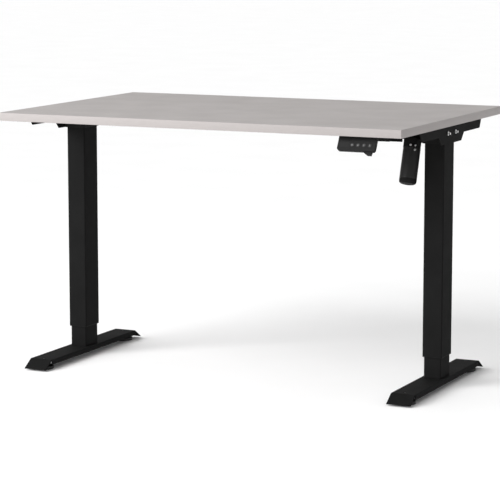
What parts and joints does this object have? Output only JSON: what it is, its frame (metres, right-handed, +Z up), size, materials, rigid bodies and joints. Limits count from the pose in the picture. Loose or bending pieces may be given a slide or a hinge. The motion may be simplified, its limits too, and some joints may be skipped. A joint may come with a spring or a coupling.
{
  "type": "height adjustable standing desk",
  "caption": "Electric sit-stand desk: rectangular laminate top on telescoping black steel columns with folded feet, a crossbeam, a hanging motor and a push-button handset.",
  "frame": {"origin": "on the floor under the middle of the tabletop, with the desk fully lowered", "axes": "+X along the desk to the right as its user sees it, +Y to the back edge, +Z up"},
  "size_m": [1.2, 0.8, 0.749],
  "materials": {
    "greige_laminate": "matte melamine laminate on particle board",
    "greige_edge_band": "satin plastic edge band",
    "black_powder_coat": "fine-textured matt powder coat",
    "satin_black_paint": "smooth satin paint on the motor can",
    "black_casting": "painted die casting",
    "black_plastic": "finely grained moulded plastic",
    "handset_plastic": "satin moulded plastic",
    "handset_window": "dark glossy display window",
    "handset_button": "satin button with a pale symbol",
    "pad_plastic": "moulded pad, slightly worn rim",
    "bright_screws": "bright zinc plated",
    "black_screws": "black oxide",
    "bare_steel": "ground steel with a film of grease",
    "gear_steel": "sintered steel",
    "bronze": "machined bronze",
    "natural_plastic": "natural acetal",
    "magnet": "sintered ferrite",
    "circuit_board": "lacquered circuit board"
  },
  "bodies": {
    "right_base": {"right_inner_tube": "black_powder_coat", "right_spindle_nut": "natural_plastic", "right_foot": "black_powder_coat", "right_base_plate": "bare_steel", "right_foot_bolts": "black_screws"},
    "top_frame": {"tabletop_board": "greige_laminate", "edge_banding": "greige_edge_band", "tabletop_screws": "black_screws", "beam_slide_rail": "black_powder_coat", "motor_bracket": "black_powder_coat", "frame_screws": "bright_screws", "spindle_bearings": "bare_steel", "shaft_bushes": "bronze", "column_glides": "black_plastic", "gearbox_housing": "black_casting", "gearbox_cover": "black_casting", "gearbox_screws": "bright_screws", "motor_can": "satin_black_paint", "motor_end_cap": "black_plastic", "motor_magnets": "magnet", "control_box_base": "black_plastic", "control_box_cover": "black_plastic", "control_board": "circuit_board", "power_inlet": "black_plastic", "control_sockets": "black_plastic", "handset_face": "handset_plastic", "handset_back": "handset_plastic", "handset_window": "handset_window", "handset_board": "circuit_board", "left_side_bracket": "black_powder_coat", "left_beam_channel": "black_powder_coat", "left_gear_head": "black_casting", "left_outer_tube": "black_powder_coat", "right_side_bracket": "black_powder_coat", "right_beam_channel": "black_powder_coat", "right_gear_head": "black_casting", "right_outer_tube": "black_powder_coat"},
    "left_base": {"left_inner_tube": "black_powder_coat", "left_spindle_nut": "natural_plastic", "left_foot": "black_powder_coat", "left_base_plate": "bare_steel", "left_foot_bolts": "black_screws"},
    "right_screw": {"right_spindle": "bare_steel", "right_bevel_gear": "gear_steel"},
    "left_screw": {"left_spindle": "bare_steel", "left_bevel_gear": "gear_steel"},
    "drive_shaft": {"hex_shaft": "bare_steel", "bevel_pinions": "gear_steel", "worm_wheel": "bronze"},
    "motor_rotor": {"motor_armature": "gear_steel", "worm_shaft": "bare_steel"},
    "button_1": {"button_1": "handset_button"},
    "button_2": {"button_2": "handset_button"},
    "button_3": {"button_3": "handset_button"},
    "button_4": {"button_4": "handset_button"},
    "left_front_pad": {"left_front_levelling_foot": "pad_plastic"},
    "left_back_pad": {"left_back_levelling_foot": "pad_plastic"},
    "right_front_pad": {"right_front_levelling_foot": "pad_plastic"},
    "right_back_pad": {"right_back_levelling_foot": "pad_plastic"}
  },
  "joints": [
    {"name": "lift", "type": "slide", "parent": "right_base", "child": "top_frame", "axis": [0, 0, 1], "range_m": [0, 0.45]},
    {"name": "left_column", "type": "slide", "parent": "top_frame", "child": "left_base", "axis": [0, 0, -1], "range_m": [0, 0.45]},
    {"name": "right_screw_turn", "type": "hinge", "parent": "top_frame", "child": "right_screw", "pos_m": [0.557, 0, 0.4], "axis": [0, 0, 1], "continuous": true},
    {"name": "left_screw_turn", "type": "hinge", "parent": "top_frame", "child": "left_screw", "pos_m": [-0.557, 0, 0.4], "axis": [0, 0, 1], "continuous": true},
    {"name": "shaft_turn", "type": "hinge", "parent": "top_frame", "child": "drive_shaft", "pos_m": [0, 0, 0.702], "axis": [1, 0, 0], "continuous": true},
    {"name": "rotor_turn", "type": "hinge", "parent": "top_frame", "child": "motor_rotor", "pos_m": [0.491, -0.02134, 0.70914], "axis": [0, -0.3173, -0.9483], "continuous": true},
    {"name": "button_1_press", "type": "slide", "parent": "top_frame", "child": "button_1", "axis": [0, 0.8829, -0.4695], "range_m": [0, 0.0008], "stiffness_N_per_m": 400, "springref_m": -0.0005},
    {"name": "button_2_press", "type": "slide", "parent": "top_frame", "child": "button_2", "axis": [0, 0.8829, -0.4695], "range_m": [0, 0.0008], "stiffness_N_per_m": 400, "springref_m": -0.0005},
    {"name": "button_3_press", "type": "slide", "parent": "top_frame", "child": "button_3", "axis": [0, 0.8829, -0.4695], "range_m": [0, 0.0008], "stiffness_N_per_m": 400, "springref_m": -0.0005},
    {"name": "button_4_press", "type": "slide", "parent": "top_frame", "child": "button_4", "axis": [0, 0.8829, -0.4695], "range_m": [0, 0.0008], "stiffness_N_per_m": 400, "springref_m": -0.0005},
    {"name": "left_front_levelling", "type": "slide", "parent": "left_base", "child": "left_front_pad", "axis": [0, 0, -1], "range_m": [0, 0.008]},
    {"name": "left_back_levelling", "type": "slide", "parent": "left_base", "child": "left_back_pad", "axis": [0, 0, -1], "range_m": [0, 0.008]},
    {"name": "right_front_levelling", "type": "slide", "parent": "right_base", "child": "right_front_pad", "axis": [0, 0, -1], "range_m": [0, 0.008]},
    {"name": "right_back_levelling", "type": "slide", "parent": "right_base", "child": "right_back_pad", "axis": [0, 0, -1], "range_m": [0, 0.008]}
  ],
  "couplings": [
    {"joint": "left_column", "follows": "lift", "ratio": 1},
    {"joint": "right_screw_turn", "follows": "lift", "rad_per_m": 314.16},
    {"joint": "left_screw_turn", "follows": "lift", "rad_per_m": 314.16},
    {"joint": "shaft_turn", "follows": "lift", "rad_per_m": -314.16},
    {"joint": "rotor_turn", "follows": "lift", "rad_per_m": 10367}
  ]
}
